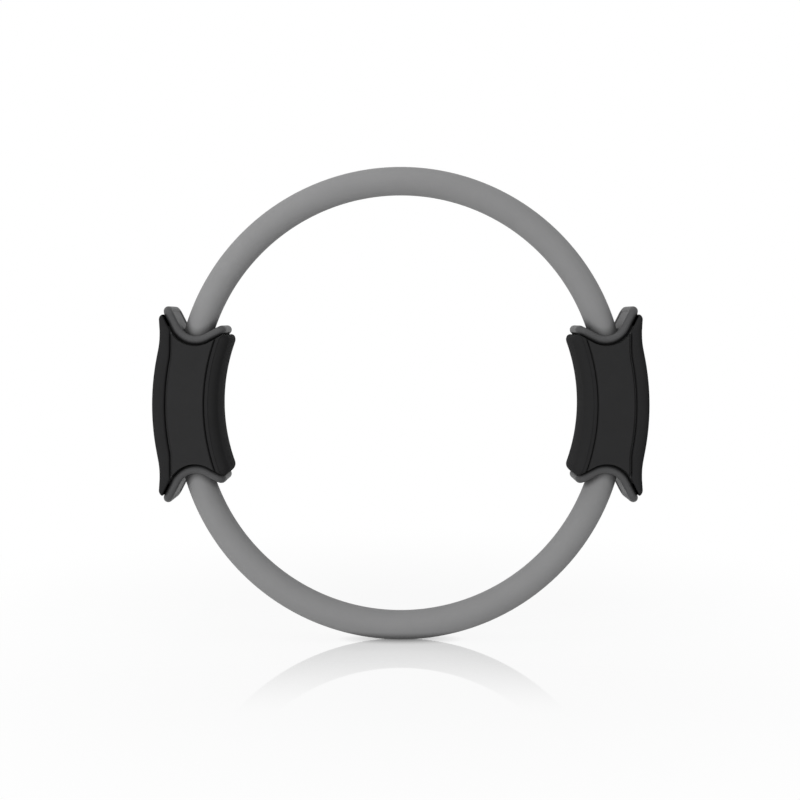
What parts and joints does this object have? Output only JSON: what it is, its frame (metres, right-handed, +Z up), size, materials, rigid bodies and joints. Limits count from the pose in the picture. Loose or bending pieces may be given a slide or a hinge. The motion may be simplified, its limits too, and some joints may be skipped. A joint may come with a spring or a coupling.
{
  "type": "pilates ring",
  "caption": "Sprung exercise hoop with a foam-covered tube and padded handles that are squeezed together or pressed apart.",
  "frame": {"origin": "middle of the hoop, on its axis, midway between the handles and midway through their depth", "axes": "+X to the right handle, +Y along the hoop's axis to the rear, where the screws are, +Z up, with the ring standing on edge"},
  "size_m": [0.3728, 0.048, 0.3592],
  "materials": {
    "sleeve_foam": "matte closed-cell foam",
    "rod_glass_fibre": "smooth glass fibre",
    "pad_rubber": "matte soft rubber",
    "plate_plastic": "fine matte grain",
    "shell_plastic": "satin moulded",
    "socket_plastic": "moulded",
    "zinc_steel": "zinc plated"
  },
  "bodies": {
    "lower_arc": {"lower_sleeve": "sleeve_foam", "lower_core_rods": "rod_glass_fibre"},
    "left_handle": {"left_front_shell": "shell_plastic", "left_rear_shell": "shell_plastic", "left_front_plate": "plate_plastic", "left_rear_plate": "plate_plastic", "left_outer_pad": "pad_rubber", "left_inner_pad": "pad_rubber", "left_core_socket": "socket_plastic", "left_shell_screws": "zinc_steel", "left_upper_ferrule": "zinc_steel", "left_lower_ferrule": "zinc_steel"},
    "right_handle": {"right_front_shell": "shell_plastic", "right_rear_shell": "shell_plastic", "right_front_plate": "plate_plastic", "right_rear_plate": "plate_plastic", "right_outer_pad": "pad_rubber", "right_inner_pad": "pad_rubber", "right_core_socket": "socket_plastic", "right_shell_screws": "zinc_steel", "right_lower_ferrule": "zinc_steel"},
    "upper_arc": {"upper_sleeve": "sleeve_foam", "upper_core_rods": "rod_glass_fibre"},
    "upper_arc_end": {"right_upper_ferrule": "zinc_steel"}
  },
  "joints": [
    {"name": "squeeze", "type": "slide", "parent": "lower_arc", "child": "left_handle", "axis": [0.7071, 0, 0.7071], "range_m": [-0.02, 0.0495], "stiffness_N_per_m": 4000, "deforming": ["lower_sleeve", "lower_core_rods"]},
    {"name": "right_squeeze", "type": "slide", "parent": "lower_arc", "child": "right_handle", "axis": [-0.7071, 0, 0.7071], "range_m": [-0.02, 0.0495], "deforming": ["lower_sleeve", "lower_core_rods"]},
    {"name": "upper_rise", "type": "slide", "parent": "left_handle", "child": "upper_arc", "axis": [-0.7071, 0, 0.7071], "range_m": [-0.02, 0.0495], "deforming": ["upper_sleeve", "upper_core_rods"]},
    {"name": "upper_end", "type": "slide", "parent": "upper_arc", "child": "upper_arc_end", "axis": [-0.7071, 0, -0.7071], "range_m": [-0.02, 0.0495], "deforming": ["upper_sleeve", "upper_core_rods"]}
  ],
  "couplings": [
    {"joint": "right_squeeze", "follows": "squeeze", "ratio": 1},
    {"joint": "upper_rise", "follows": "squeeze", "ratio": 1},
    {"joint": "upper_end", "follows": "squeeze", "ratio": 1}
  ]
}
